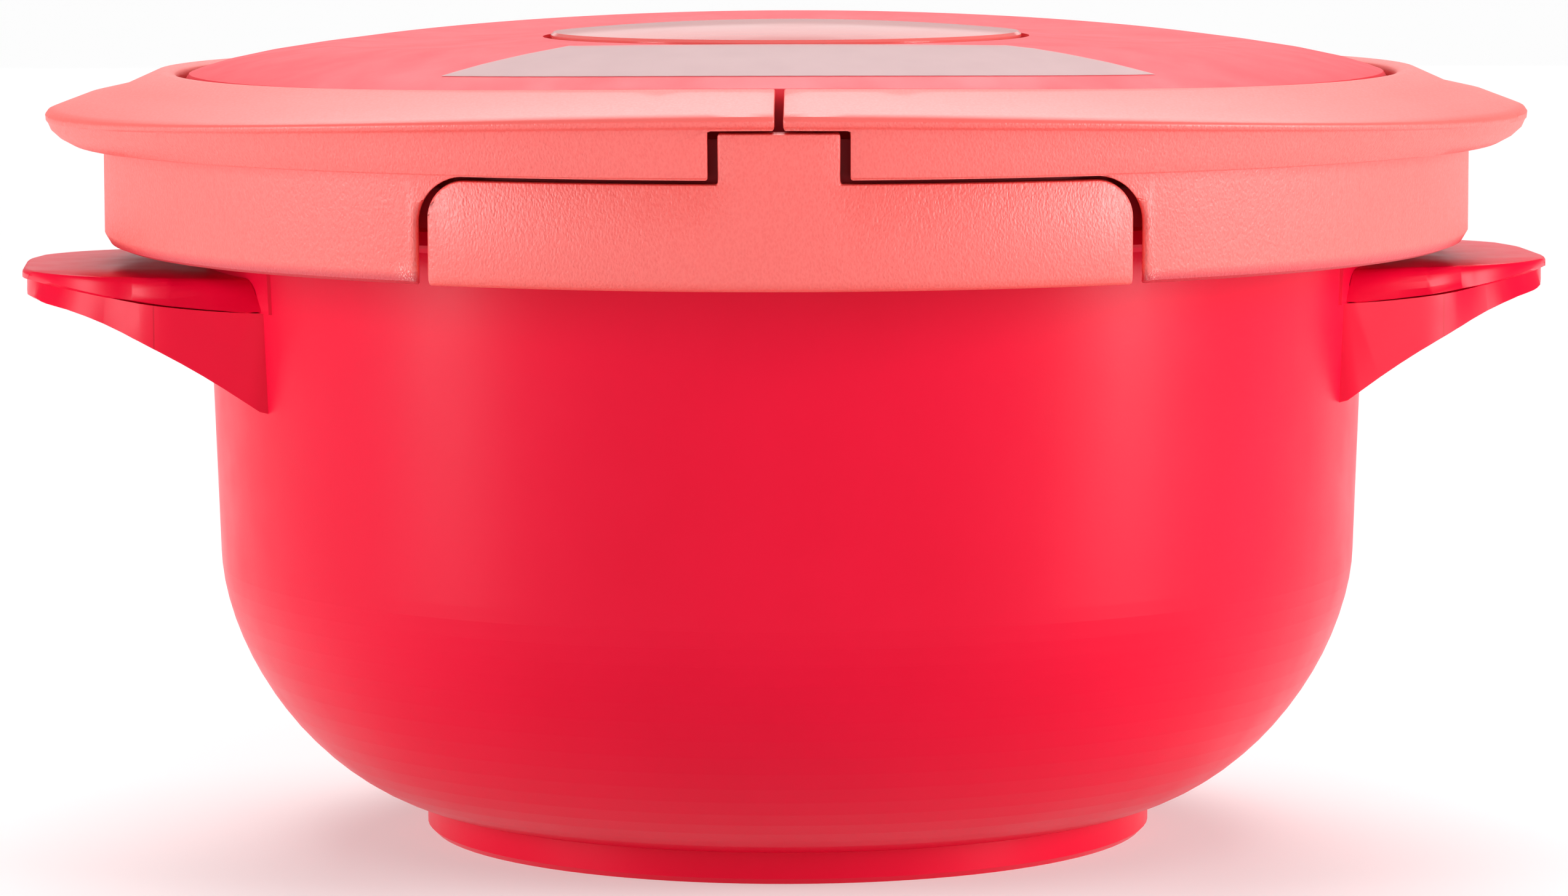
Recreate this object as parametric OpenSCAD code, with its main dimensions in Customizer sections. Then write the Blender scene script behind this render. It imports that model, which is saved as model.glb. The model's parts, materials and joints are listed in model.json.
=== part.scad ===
// Clamp-lid cooking pot: a bowl with two handles, and a lid held by two half-ring clamps that slide
// apart together. Millimetres, +Z up, origin at the centre of the foot's underside, front at -Y.

/* [Pot] */
// Outer radius of the pot wall just under the rim
pot_r = 101.2; // [90:0.1:115]
// Height of the pot's rim above the table
pot_h = 112; // [100:0.5:130]
// Thickness of the pot wall and floor
pot_wall = 3; // [2:0.1:4]
// Outer radius of the foot ring
foot_r = 63.5; // [50:0.5:75]
// Height of the foot ring
foot_h = 6.5; // [4:0.1:9]
// Width of the foot ring's rim
foot_w = 3; // [2:0.1:5]
// How far the rim flange stands out of the wall
flange_w = 9.8; // [8:0.1:11]
// Thickness of the rim flange
flange_t = 3.5; // [2.5:0.1:4.5]
// How much the wall narrows from the rim to the belly
wall_draft = 2.1; // [0:0.1:3]
// Height of the nearly straight wall above the belly
wall_h = 62.3; // [50:0.1:68]
// How far the bowl's floor lies below the foot ring's upper edge
floor_recess = 1.4; // [0.5:0.1:2.5]

/* [Handles] */
// How far each handle's tip stands out of the pot wall
handle_out = 31.3; // [26:0.1:42]
// Half width of a handle where it meets the wall
handle_root_w = 42.6; // [34:0.5:46]
// Half width of a handle where its rounded corners begin
handle_tip_w = 34.5; // [28:0.5:40]
// Radius of the handle's rounded corners
handle_corner_r = 19; // [14:0.5:26]
// Drop of the handle's flat top below the rim
handle_drop = 12.1; // [11:0.1:18]
// Fall of the handle's rounded shoulder beside the wall
shoulder_h = 5.2; // [3:0.1:7]
// How far the shoulder spreads beside the wall
shoulder_w = 4.3; // [2:0.1:6]
// How far the web under the plate is set in from its edge
web_inset = 0.8; // [0.4:0.1:2]
// Depth of the handle at its tip
handle_tip_t = 4.9; // [4:0.1:7]
// Drop of the web's root below the handle's tip
web_drop = 17.1; // [12:0.1:22]
// Turn of the pot under its lid, from handles square to the clamps' travel
pot_turn = 5.3; // [-10:0.1:10]
// Thickness of the raised pad round a handle's root
pad_t = 0.5; // [0.3:0.1:1]
// Margin of the pad beside the handle
pad_margin = 3; // [2:0.1:5]

/* [Clamps] */
// Thickness of the clamp cover's skirt
skirt_t = 2.8; // [2:0.1:3]
// Height of the skirt from its lower edge to the band
skirt_h = 17.8; // [16:0.1:20]
// Width of the ring's top, from the skirt's face in to the lid cover
ring_w = 12.7; // [11:0.1:13.5]
// How far the lip stands out beyond the skirt at the sides
lip_out = 10; // [6:0.1:14]
// How far the band stands out beyond the skirt at the sides
band_out = 5.5; // [3:0.1:6]
// Height of the band at the front and rear
band_h = 7.8; // [6:0.1:9]
// Thickness of the lip's rounded edge
lip_t = 2.5; // [2:0.1:3.5]
// Rise of the ring's top from the lip to its inner edge
ring_rise = 3.05; // [2:0.05:4]
// Gap between the two halves at the front and rear
split_gap = 1.4; // [0.8:0.1:2.5]
// Travel of each clamp when it opens
clamp_travel = 11; // [9:0.5:12]
// Half angle covered by the claws under the rim
claw_angle = 52; // [40:1:54]
// Thickness of a claw
claw_t = 3.6; // [3:0.1:4.2]

/* [Covers] */
// Half width of the front and rear covers' crossbar
cover_half_w = 55.5; // [45:0.5:58]
// Height of the crossbar
cover_h = 16.8; // [14:0.1:17]
// Corner radius of the crossbar
cover_corner_r = 6; // [3:0.5:8]
// Half width of the cover's neck
neck_half_w = 9.5; // [6:0.5:14]
// Gap between a cover and the clamps round it
cover_gap = 1.6; // [1:0.1:2.5]

/* [Lid] */
// Thickness of the lid cover's shell
shell_t = 2.4; // [1.8:0.1:3]
// Height of the lid cover's ridge above the rim
ridge_z = 28.2; // [26:0.1:32]
// Depth of the pan round the button below the ridge
pan_depth = 1.6; // [0.5:0.1:3]
// How far the ridge falls at the sides
side_fall = 2.9; // [1:0.1:4]
// Thickness of the lid base's plate
base_t = 3; // [2.5:0.1:4]
// Width of the sealing gasket
gasket_w = 6.5; // [5:0.1:7]
// Height of the gasket's channel
gasket_h = 3.5; // [2.5:0.1:4]

/* [Button] */
// Radius of the release button
button_r = 41; // [34:0.5:44]
// Crown of the button's top
button_crown = 1.8; // [1:0.1:3]
// Travel of the button when pressed
button_travel = 3; // [2:0.1:3.5]
// Groove between the button and the lid cover
button_gap = 1; // [0.6:0.1:1.6]
// Radius of the valve stem
stem_r = 3; // [2.4:0.1:3.6]
// Radius of the button spring's wire
spring_wire_r = 0.6; // [0.4:0.05:0.8]
// Turns of the button spring
spring_turns = 5; // [4:1:6]

/* [Sync gear] */
// Number of teeth on the sync ring
ring_teeth = 22; // [20:2:24]
// Tooth size: pitch diameter divided by the number of teeth
tooth_module = 2; // [1.8:0.1:2.1]
// Side clearance between meshing teeth
backlash = 0.3; // [0.2:0.05:0.5]
// Thickness of the sync ring and the racks
gear_t = 4; // [3:0.1:4.5]

/* [Hidden] */

// Clearances
move_gap = 0.3;
seat_gap = 0.05;
run_gap = 0.05;
far = 400;

// Smoothness
clamp_step = 2.5;
lid_step = 3;
bowl_steps = 20;
web_steps = 14;

// Pot
flange_r = pot_r + flange_w;
belly_r = pot_r - wall_draft;
belly_z = pot_h - wall_h;
floor_r = foot_r - foot_w;
floor_z = foot_h - floor_recess;
bowl_power = 1.73;
rim_low = pot_h - flange_t;

// Handles
handle_top = pot_h - handle_drop;
handle_reach = pot_r + handle_out;
tip_low = handle_top - handle_tip_t;
web_power = 1.6;
corner_x = handle_reach - handle_corner_r;
corner_y = handle_tip_w - handle_corner_r;
root_x = sqrt(pow(pot_r, 2) - pow(handle_root_w, 2));
buried_x = root_x - 12;
edge_r = 0.9;
pad_low = handle_top - shoulder_h - 0.3;
tip_round = 2.2;

// Radii of the lid's rim parts, from the pot's flange outwards
wall_in = flange_r + 0.5;
wall_out = wall_in + 2;
slide_in = wall_out + 0.4;
slide_out = slide_in + 1.7;
skirt_in = slide_out + seat_gap * 2;
skirt_r = skirt_in + skirt_t;
ring_in = skirt_r - ring_w;
claw_in = flange_r - 5.5;
cover_edge_r = ring_in - 1.2;

// Heights of the lid's parts, from the pot's rim upwards
skirt_low = pot_h - 8.8;
band_z = skirt_low + skirt_h;
crease_z = band_z + band_h;
lip_z = crease_z + lip_t;
ring_z = lip_z + ring_rise;
claw_top = rim_low - move_gap;
plate_top = pot_h + base_t;
channel_top = pot_h + gasket_h + 2.5;
arm_z = channel_top + 0.4;
arm_top = arm_z + gear_t;
well_floor = pot_h + 15.5;
well_floor_t = 2;
cover_low = skirt_low;

// Lip and band outlines: each half is a circle whose centre is moved sideways
lip_shift = 0.66 * lip_out;
band_shift = 0.93 * band_out;
side_drop_lip = 4.15;
side_drop_crease = 4.2;
side_drop_ring = 1.5;

// Lid cover
well_r = button_r + button_gap;
ledge = 0.4;
pan_z = pot_h + ridge_z - pan_depth;
ridge_r = 0.765 * cover_edge_r;
edge_z = ring_z - 0.4;

// Button and valve
button_rim_z = pan_z + 0.1;
button_top_z = button_rim_z + 0.7;
tower_r = 14;
tower_bore_r = 10.5;
collar_r = tower_r + 2.5;
tower_top = pot_h + 14;
guide_t = 3;
vent_r = 5;
stem_top = button_rim_z - 1.2;
seal_h = 3.5;
seal_r = stem_r + 5;
shield_in = seal_r + 3;
clip_t = 0.8;
clip_z = pot_h - move_gap - seal_h - clip_t - 0.1;
stem_low = clip_z - 1.5;
boss_r = stem_r + 2.4;
spring_r = boss_r + spring_wire_r + 0.7;
button_under = button_rim_z - 1.8;
boss_low = tower_top + button_travel + 1.5;

// Sync gear
pitch_r = ring_teeth * tooth_module / 2;
tooth_tip = 0.9 * tooth_module;
tooth_root = 1.15 * tooth_module;
tooth_pitch = PI * tooth_module;
pressure_angle = 20;
rack_line = pitch_r + tooth_root;
rack_back = rack_line + 5;
rack_teeth_in = ceil(clamp_travel / tooth_pitch) + 2;
arm_tail = (rack_teeth_in + 0.2) * tooth_pitch;
arm_edge = cover_edge_r - 28;
tongue_half_w = rack_back - 1;
slot_half_w = tongue_half_w + 2;

// Screws
screw_r = 1.35;
screw_head_r = 2.6;
screw_head_t = 1.6;
screw_grip = 9;
slide_boss_top = arm_top + 1.5;
lid_screw_r = 66;
lid_screw_angles = [45, 135, 225, 315];
clamp_screw_angles = [-38, 0, 38];
clamp_screw_r = ring_in + 5.5;

// Safety plug
plug_pos = [0, 56];
plug_r = 5;

red = "crimson";
coral = "salmon";
inner = "firebrick";
silicone = "whitesmoke";
steel = "silver";

// Polar radius at angle a of a circle of radius rho whose centre lies at x = c
function shifted_r(rho, c, a) = c * cos(a) + sqrt(rho * rho - c * c * pow(sin(a), 2));

// Square of the cosine: 1 at the sides, 0 at the front and rear
function sideness(a) = pow(cos(a), 2);

// A section's points [r, z] set up in the vertical plane at angle a
function at_angle(section, a) = [for (p = section) [p[0] * cos(a), p[0] * sin(a), p[1]]];

// Solid through a row of sections that have equally many points
module loft(rings, closed = false) {
    n = len(rings);
    m = len(rings[0]);
    last = closed ? n - 1 : n - 2;
    sides = [for (i = [0 : last], j = [0 : m - 1])
        let (a = i * m + j, b = i * m + (j + 1) % m,
            c = ((i + 1) % n) * m + (j + 1) % m, d = ((i + 1) % n) * m + j)
        each [[a, b, c], [a, c, d]]];
    caps = closed ? [] : [[for (j = [m - 1 : -1 : 0]) j], [for (j = [0 : m - 1]) (n - 1) * m + j]];
    polyhedron(points = [for (r = rings) each r], faces = concat(sides, caps), convexity = 8);
}

// Part of a ring between two angles
module ring_sector(r_in, r_out, z_low, z_high, half_angle, mid = 0) {
    rotate([0, 0, mid - half_angle])
        rotate_extrude(angle = 2 * half_angle, $fn = 180)
            translate([r_in, z_low]) square([r_out - r_in, z_high - z_low]);
}

module tube(r_in, r_out, z_low, z_high) {
    difference() {
        translate([0, 0, z_low]) cylinder(r = r_out, h = z_high - z_low, $fn = 120);
        translate([0, 0, z_low - 1]) cylinder(r = r_in, h = z_high - z_low + 2, $fn = 120);
    }
}

// ---- Pot ----

// Outer curve of the bowl from the floor up to the straight wall, grown outwards by g
function bowl_curve(g) = [for (i = [0 : bowl_steps]) let (t = 90 * i / bowl_steps)
    [floor_r + (belly_r + g - floor_r) * pow(sin(t), 2 / bowl_power),
     belly_z - (belly_z - floor_z + g) * pow(cos(t), 2 / bowl_power)]];

// Outer radius of the nearly straight wall at height z
function wall_r(z) = belly_r + wall_draft * (z - belly_z) / wall_h;

module bowl_solid(g, top) {
    rotate_extrude($fn = 180)
        polygon(concat([[0, floor_z - g]], bowl_curve(g), [[wall_r(top) + g, top], [0, top]]));
}

module pot_body() {
    color(red) difference() {
        union() {
            bowl_solid(0, pot_h - 1);
            // foot ring
            rotate_extrude($fn = 180)
                polygon([[floor_r, 0.6], [floor_r + 0.6, 0], [foot_r - 1, 0], [foot_r, 1],
                    [foot_r, foot_h], [foot_r + 2, foot_h + 1.5], [floor_r, foot_h + 1.5]]);
            // rim flange with a rounded edge
            rotate_extrude($fn = 180)
                polygon([[pot_r - pot_wall, rim_low], [pot_r, rim_low - 1.6], [pot_r + 1.6, rim_low],
                    [flange_r - 0.5, rim_low], [flange_r, rim_low + 0.5], [flange_r, pot_h - 0.8],
                    [flange_r - 0.8, pot_h], [pot_r - pot_wall, pot_h]]);
            for (side = [0, 180]) rotate([0, 0, side + pot_turn]) root_pad();
        }
        bowl_solid(-pot_wall, pot_h + 1);
    }
}

// Raised pad on the wall round a handle's root
module root_pad() {
    pad_w = handle_root_w + pad_margin;
    intersection() {
        bowl_solid(pad_t, rim_low - flange_t - 2);
        translate([0, -pad_w, pad_low]) cube([far, 2 * pad_w, far]);
    }
}

// Plan of a handle for +X, narrowed all round by inset
module handle_plan(inset) {
    hull() {
        for (s = [-1, 1]) translate([corner_x, s * corner_y]) circle(r = handle_corner_r - inset, $fn = 64);
        translate([buried_x, inset - handle_root_w]) square([root_x - buried_x, 2 * (handle_root_w - inset)]);
    }
}

// Half width of the plan at x: a straight taper, then the rounded corner
function plan_w(x) = x < corner_x
    ? handle_root_w - (handle_root_w - handle_tip_w) * max(0, x - root_x) / (corner_x - root_x)
    : corner_y + sqrt(max(0, pow(handle_corner_r, 2) - pow(x - corner_x, 2)));

// 0 at the handle's tip, 1 where it meets the wall and further in
function rootward(x) = min(1, (handle_reach - x) / (handle_reach - root_x));

// Half section of the plate at x: flat top, rounded shoulder, crease
function plate_half(x) = let (
    q = rootward(x),
    w = plan_w(x),
    spread = min(w - 2, edge_r + (shoulder_w - edge_r) * q * q),
    fall = edge_r + (shoulder_h - edge_r) * (1 - pow(1 - q, 1.8)))
    [for (t = [0 : 15 : 90]) [w - spread * (1 - sin(t)), handle_top - fall * (1 - cos(t))]];

// Fall of the plate's rounded edge at its tip
function tip_fall(x) = let (u = max(0, 1 - (handle_reach - x) / edge_r))
    0.85 * edge_r * (1 - sqrt(1 - u * u));

// Plate whose shoulder grows from a small edge at the tip to a broad curve beside the wall
module handle_plate() {
    span = handle_reach - buried_x;
    xs = concat([for (i = [0 : 5]) buried_x + (corner_x - buried_x) * i / 5],
        [for (t = [8 : 8 : 72]) corner_x + handle_corner_r * sin(t)],
        [for (k = [0.5, 0.2, 0.05, 0]) handle_reach - k]);
    loft([for (x = xs) let (half = plate_half(min(x, handle_reach - 0.1)),
        top = handle_top - tip_fall(x), m = len(half))
        concat([for (i = [0 : m - 1]) [x, half[i][0], min(top, half[i][1])]],
            [[x, half[m - 1][0] - web_inset - 0.6, half[m - 1][1] - 0.6],
             [x, web_inset + 0.6 - half[m - 1][0], half[m - 1][1] - 0.6]],
            [for (i = [m - 1 : -1 : 0]) [x, -half[i][0], min(top, half[i][1])]])]);
}

// Height of the web's underside at x, rounded up at the tip
function web_z(x) = tip_low - web_drop * pow(max(0, handle_reach - x) / (handle_reach - root_x), web_power)
    + tip_round * (1 - sqrt(1 - pow(max(0, 1 - (handle_reach - web_inset - x) / tip_round), 2)));

// Web swept from the tip down to the wall, a little narrower than the plate
module handle_web() {
    run = handle_reach - web_inset - tip_round - buried_x;
    web_xs = concat([for (i = [0 : web_steps]) buried_x + run * i / web_steps],
        [for (t = [20 : 20 : 80]) buried_x + run + tip_round * sin(t)], [handle_reach - web_inset]);
    intersection() {
        translate([0, 0, tip_low - far]) linear_extrude(far + handle_tip_t) handle_plan(web_inset);
        rotate([90, 0, 0]) translate([0, 0, -far / 2]) linear_extrude(far)
            polygon(concat([[buried_x, web_top(buried_x)]],
                [for (x = web_xs) [x, web_z(x)]],
                [for (i = [len(web_xs) - 1 : -1 : 1]) [web_xs[i], web_top(web_xs[i])]]));
    }
}

// Top of the web at x, just inside the plate
function web_top(x) = plate_half(min(x, handle_reach - 0.1))[6][1] - 0.3;

module handle() {
    rotate([0, 0, pot_turn]) difference() {
        union() {
            handle_plate();
            handle_web();
        }
        bowl_solid(seat_gap, pot_h);
        intersection() {
            bowl_solid(pad_t + seat_gap, pot_h);
            translate([0, -far / 2, pad_low - seat_gap]) cube(far);
        }
    }
}

module handle_right() { color(red) handle(); }
module handle_left() { color(red) rotate([0, 0, 180]) handle(); }

// ---- Clamps ----

// Share of a drop at angle a: 0 at the front and rear, 1 at the sides
function droop(a, power) = 1 - pow(abs(sin(a)), power);

function mix(front, side, a) = front + (side - front) * sideness(a);

// Section of the clamp cover at angle a: skirt, shelf, band, crease, lip and top
function clamp_section(a) = let (
    rb = shifted_r(skirt_r + band_out - band_shift, band_shift, a),
    rl = shifted_r(skirt_r + lip_out - lip_shift, lip_shift, a),
    rc = rb + mix(0.5, 0.92, a) * (rl - rb),
    zc = crease_z - side_drop_crease * droop(a, 2.2),
    zl = lip_z - side_drop_lip * droop(a, 3.2),
    zr = ring_z - side_drop_ring * droop(a, 5),
    top_r = rl - mix(2.4, 1.9, a),
    swell_r = top_r - 5.2,
    swell_z = zl + mix(1.36, 1.95, a),
    mid_r = (swell_r + ring_in + 3.4) / 2,
    mid_z = (swell_z + zr) / 2 - mix(0.2, 0.55, a))
    [[skirt_in - 0.1, skirt_low], [skirt_r - 1, skirt_low + 0.7], [skirt_r, skirt_low + 2.4],
     [skirt_r, band_z], [rb, band_z],
     [rb + mix(0.3, 0.5, a) * (rc - rb), band_z + mix(0.45, 0.28, a) * (zc - band_z)],
     [rb + mix(0.65, 0.87, a) * (rc - rb), band_z + mix(0.75, 0.65, a) * (zc - band_z)],
     [rc, zc], [rl - mix(0.5, 0.1, a), zc + 0.3], [rl, zc + 0.5 * (zl - zc)], [rl - 0.5, zl - 0.55],
     [top_r, zl], [swell_r, swell_z], [mid_r, mid_z], [ring_in + 3.4, zr + mix(-0.5, 0.3, a)],
     [ring_in + 1.1, zr],
     [ring_in + 0.2, zr - 0.3], [ring_in, zr - 1], [ring_in, zr - 2.6], [mid_r, mid_z - 2.6],
     [rb - 3, max(band_z + 2.4, zc - 2.2)], [rb - 2.9, band_z + 2.2], [skirt_in, band_z + 2],
     [skirt_in, skirt_low + 1]];

// Clear space round the front or rear cover, for cutting the clamp covers
module cover_cutout() {
    half_w = cover_half_w + cover_gap;
    neck = neck_half_w + cover_gap;
    top = band_z - 0.3;
    r = cover_corner_r + cover_gap;
    rotate([90, 0, 0]) translate([0, 0, -far / 2]) linear_extrude(far) {
        translate([-half_w, 0]) square([2 * half_w, top - r]);
        translate([-half_w + r, 0]) square([2 * (half_w - r), top]);
        for (s = [-1, 1]) translate([s * (half_w - r), top - r]) circle(r = r, $fn = 48);
        translate([-neck, band_z - 2]) square([2 * neck, crease_z - band_z + 1.9]);
    }
}

module clamp_cover() {
    difference() {
        union() {
            loft([for (a = [-90 : clamp_step : 90]) at_angle(clamp_section(a), a)]);
            for (a = clamp_screw_angles) rotate([0, 0, a])
                translate([clamp_screw_r, 0, slide_boss_top + seat_gap])
                    cylinder(r = screw_r * 2.2, h = cover_boss_top(a) - slide_boss_top - seat_gap, $fn = 40);
        }
        cover_cutout();
        translate([split_gap / 2 - far, -far / 2, 0]) cube([far, far, far]);
        for (a = clamp_screw_angles) rotate([0, 0, a]) translate([clamp_screw_r, 0, slide_boss_top - 1])
            cylinder(r = screw_r, h = cover_boss_top(a) - slide_boss_top, $fn = 32);
    }
}

// Top of a screw boss inside the clamp cover's top wall
function cover_boss_top(a) = ring_z - side_drop_ring * droop(a, 5) - 3.3;

module clamp_cover_right() { color(coral) clamp_cover(); }
module clamp_cover_left() { color(coral) rotate([0, 0, 180]) clamp_cover(); }

// Inner frame of a clamp for +X: claws, wall, top web, tongue and rack arm
module clamp_slide() {
    difference() {
        union() {
            ring_sector(claw_in, slide_out, claw_top - claw_t, claw_top, claw_angle);
            ring_sector(slide_in, slide_out, claw_top - claw_t, arm_top, claw_angle);
            ring_sector(ring_in + 0.6, slide_out, arm_z, arm_top, claw_angle);
            // tongue through the lid cover's side slot
            intersection() {
                translate([arm_edge, -tongue_half_w, arm_z]) cube([far, 2 * tongue_half_w, gear_t]);
                translate([0, 0, arm_z]) cylinder(r = ring_in + 2, h = gear_t, $fn = 180);
            }
            // arm that carries the rack
            translate([-arm_tail, rack_line, arm_z])
                cube([arm_edge + arm_tail + 1, rack_back - rack_line, gear_t]);
            rack();
            for (a = clamp_screw_angles) rotate([0, 0, a]) translate([clamp_screw_r, 0, arm_z])
                cylinder(r = screw_head_r + 1, h = slide_boss_top - arm_z, $fn = 40);
        }
        for (a = clamp_screw_angles) rotate([0, 0, a]) translate([clamp_screw_r, 0, arm_z - 1]) {
            cylinder(r = screw_r + 0.1, h = far, $fn = 32);
            cylinder(r = screw_head_r + 0.1, h = screw_head_t + 1.2, $fn = 32);
        }
    }
}

// Straight teeth on the arm, facing the sync ring
module rack() {
    half = tooth_pitch / 4 - backlash / 2;
    tip = half - tooth_tip * tan(pressure_angle);
    root = half + tooth_root * tan(pressure_angle);
    for (i = [-rack_teeth_in : 1]) translate([(i + 0.5) * tooth_pitch, pitch_r, arm_z]) linear_extrude(gear_t)
        polygon([[-root, tooth_root + 0.1], [-tip, -tooth_tip], [tip, -tooth_tip], [root, tooth_root + 0.1]]);
}

module clamp_slide_right() { color(inner) clamp_slide(); }
module clamp_slide_left() { color(inner) rotate([0, 0, 180]) clamp_slide(); }

// Pan-head screw that stands at the origin, head down
module screw(length) {
    cylinder(r1 = screw_head_r - 0.4, r2 = screw_head_r, h = screw_head_t / 2, $fn = 40);
    translate([0, 0, screw_head_t / 2]) cylinder(r = screw_head_r, h = screw_head_t / 2, $fn = 40);
    cylinder(r = screw_r - seat_gap, h = length, $fn = 32);
}

module clamp_screws() {
    for (a = clamp_screw_angles) rotate([0, 0, a]) translate([clamp_screw_r, 0, arm_z + 0.15])
        screw(cover_boss_top(a) - arm_z - 1.6);
}

module clamp_screws_right() { color(steel) clamp_screws(); }
module clamp_screws_left() { color(steel) rotate([0, 0, 180]) clamp_screws(); }

// ---- Front and rear covers ----

module t_cover() {
    neck_top = crease_z - 0.8;
    foot_z = cover_low + cover_h;
    flare = 1.9;
    intersection() {
        translate([0, 0, cover_low - 1]) rotate_extrude($fn = 180)
            polygon([[wall_out + seat_gap, 1], [skirt_r - 2.4, 1], [skirt_r - 0.8, 1.6], [skirt_r, 2.9],
                [skirt_r, band_z - cover_low + 1], [skirt_r + flare, neck_top - cover_low + 1],
                [wall_out + seat_gap, neck_top - cover_low + 1]]);
        rotate([90, 0, 0]) linear_extrude(far) {
            r = cover_corner_r;
            translate([-cover_half_w, cover_low]) square([2 * cover_half_w, cover_h - r]);
            translate([-cover_half_w + r, cover_low]) square([2 * (cover_half_w - r), cover_h]);
            for (s = [-1, 1]) translate([s * (cover_half_w - r), foot_z - r]) circle(r = r, $fn = 48);
            translate([-neck_half_w, foot_z - 2]) square([2 * neck_half_w, neck_top - foot_z + 2]);
        }
    }
}

module front_cover() { color(coral) t_cover(); }
module rear_cover() { color(coral) rotate([0, 0, 180]) t_cover(); }

// ---- Lid ----

// Section of the lid cover's shell at angle a, from the outer wall's foot over the top to the well
function cover_top(r, a) = let (
    s = sideness(a),
    ridge = pot_h + ridge_z,
    u = (r - ridge_r) / (cover_edge_r - ridge_r),
    v = (ridge_r - r) / (ridge_r - well_r),
    outer = ridge - (ridge - edge_z) * (0.7 * u + 0.3 * u * u) * min(1, u * 4 + 0.15),
    sink = pow(max(0, u), 3),
    side = side_fall * s * (r < ridge_r ? 1 - v : 1 - 0.68 * u),
    fall = side * (1 - sink) + (side_drop_ring + 0.2) * droop(a, 5) * sink)
    (r < ridge_r ? ridge - pan_depth * (1 - pow(1 - min(1, v * 1.8), 2)) : outer) - fall;

// Radii of the shell's points: from the rounded edge in to the ridge, then on to the well
function slope_radii() = [for (k = [0, 0.07, 0.25, 0.5, 0.75, 1])
    cover_edge_r - 0.9 - (cover_edge_r - 0.9 - ridge_r) * k];
function pan_radii() = [for (k = [0.15, 0.35, 0.6, 1]) ridge_r - (ridge_r - well_r - ledge) * k];

function shell_section(a) = let (radii = concat(slope_radii(), pan_radii()), n = len(radii))
    concat([[cover_edge_r, channel_top + 0.02], [cover_edge_r, cover_top(cover_edge_r, a) - 1]],
        [for (r = radii) [r, cover_top(r, a)]],
        [for (i = [n - 1 : -2 : 2]) [radii[i], cover_top(radii[i], a) - shell_t]],
        [[cover_edge_r - shell_t, cover_top(cover_edge_r - shell_t, a) - shell_t],
         [cover_edge_r - shell_t, channel_top + 0.02]]);

module lid_cover() {
    color(red) difference() {
        union() {
            loft([for (a = [0 : lid_step : 360 - lid_step]) at_angle(shell_section(a), a)], closed = true);
            // well for the button
            rotate_extrude($fn = 120)
                polygon([[collar_r, arm_top + move_gap], [collar_r + 2, arm_top + move_gap],
                    [collar_r + 2, well_floor], [well_r + 2, well_floor], [well_r + 2, pan_z - shell_t / 2],
                    [well_r, pan_z - ledge], [well_r, well_floor + well_floor_t],
                    [collar_r, well_floor + well_floor_t]]);
            // screw bosses
            for (a = lid_screw_angles) rotate([0, 0, a]) translate([lid_screw_r, 0, plate_top + seat_gap])
                cylinder(r = 4, h = cover_top(lid_screw_r, a) - shell_t / 2 - plate_top, $fn = 48);
        }
        // side slots for the tongues
        for (s = [0, 180]) rotate([0, 0, s]) translate([cover_edge_r - 20, -slot_half_w, channel_top - 1])
            cube([40, 2 * slot_half_w, arm_top - channel_top + 2]);
        for (a = lid_screw_angles) rotate([0, 0, a]) translate([lid_screw_r, 0, plate_top - 1])
            cylinder(r = screw_r, h = 13, $fn = 32);
    }
}

module lid_base() {
    color(inner) difference() {
        union() {
            // plate, channel rim and outer wall
            rotate_extrude($fn = 180)
                polygon([[0, pot_h], [pot_r - pot_wall - 6, pot_h], [pot_r - pot_wall - 6, pot_h - 6],
                    [pot_r - pot_wall - 4, pot_h - 7], [pot_r - pot_wall - 2, pot_h - 6],
                    [pot_r - pot_wall - 1, pot_h + 0.02], [wall_in, pot_h + 0.02], [wall_out, pot_h + 0.02],
                    [wall_out, arm_z - move_gap], [wall_in - 1, arm_z - move_gap],
                    [wall_in - 1.5, channel_top], [pot_r - pot_wall - 4, channel_top],
                    [pot_r - pot_wall - 7, plate_top], [0, plate_top]]);
            // wall behind the front and rear covers
            for (m = [90, 270]) ring_sector(wall_in, wall_out, cover_low + 1, crease_z - 2, 27, m);
            translate([0, 0, plate_top - 1]) cylinder(r = tower_r, h = tower_top - plate_top + 1, $fn = 96);
            tube(tower_r - 1, tower_r + 5, plate_top - 1, arm_z - move_gap);
            tube(seal_r + 1.2, shield_in - seat_gap, pot_h - 3, pot_h + 1);
            arm_guides();
        }
        // gasket channel
        tube(gasket_in() - 0.1, gasket_in() + gasket_w + 0.1, pot_h - 1, pot_h + gasket_h);
        // vent: seat hole, tower bore and outlets round the stem guide
        translate([0, 0, pot_h - 1]) cylinder(r = vent_r, h = base_t + 2, $fn = 64);
        translate([0, 0, plate_top])
            cylinder(r = tower_bore_r, h = tower_top - guide_t - plate_top, $fn = 64);
        translate([0, 0, pot_h]) cylinder(r = stem_r + run_gap, h = 40, $fn = 64);
        for (a = [0 : 60 : 300]) rotate([0, 0, a]) translate([tower_bore_r - 1.6, 0, pot_h + 5])
            cylinder(r = 1.5, h = 20, $fn = 32);
        for (a = lid_screw_angles) rotate([0, 0, a]) translate([lid_screw_r, 0, pot_h - 1])
            cylinder(r = screw_r + seat_gap, h = 10, $fn = 32);
        translate([plug_pos[0], plug_pos[1], pot_h - 1]) cylinder(r = plug_r, h = 10, $fn = 48);
    }
}

function gasket_in() = pot_r - pot_wall + (flange_w + pot_wall - gasket_w) / 2 - 1.5;

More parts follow.
